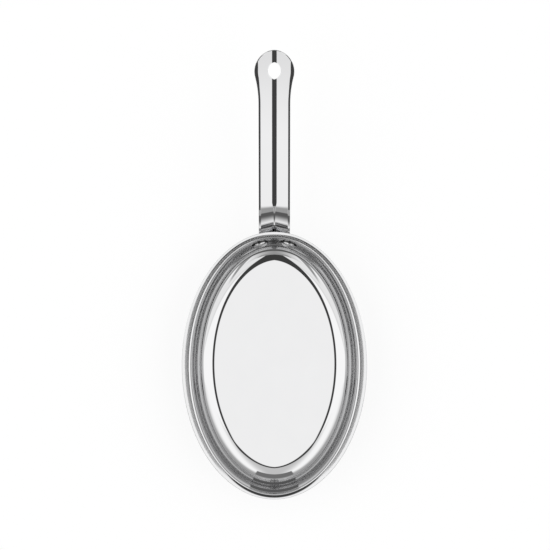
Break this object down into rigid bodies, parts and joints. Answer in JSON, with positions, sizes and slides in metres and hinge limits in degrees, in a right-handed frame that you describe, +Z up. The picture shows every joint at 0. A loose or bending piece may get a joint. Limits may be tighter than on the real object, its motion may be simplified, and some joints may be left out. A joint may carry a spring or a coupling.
{
  "type": "oval frying pan",
  "caption": "Oval frying pan with a flat floor, steep walls, a turned-out pouring lip and a riveted upswept handle with a hanging hole.",
  "frame": {"origin": "middle of the oval underside, on the surface that the pan stands on", "axes": "+Z up out of the pan, +Y along the handle away from the bowl, X across the oval"},
  "size_m": [0.18, 0.4293, 0.0989],
  "materials": {
    "polished_steel": "mirror polished",
    "aluminium": "bare edge",
    "outer_steel": "polished",
    "rivet_steel": "polished"
  },
  "bodies": {
    "root": {"inner_skin": "polished_steel", "aluminium_core": "aluminium", "outer_skin": "outer_steel", "handle": "polished_steel", "rivet_left": "rivet_steel", "rivet_right": "rivet_steel"}
  },
  "joints": []
}
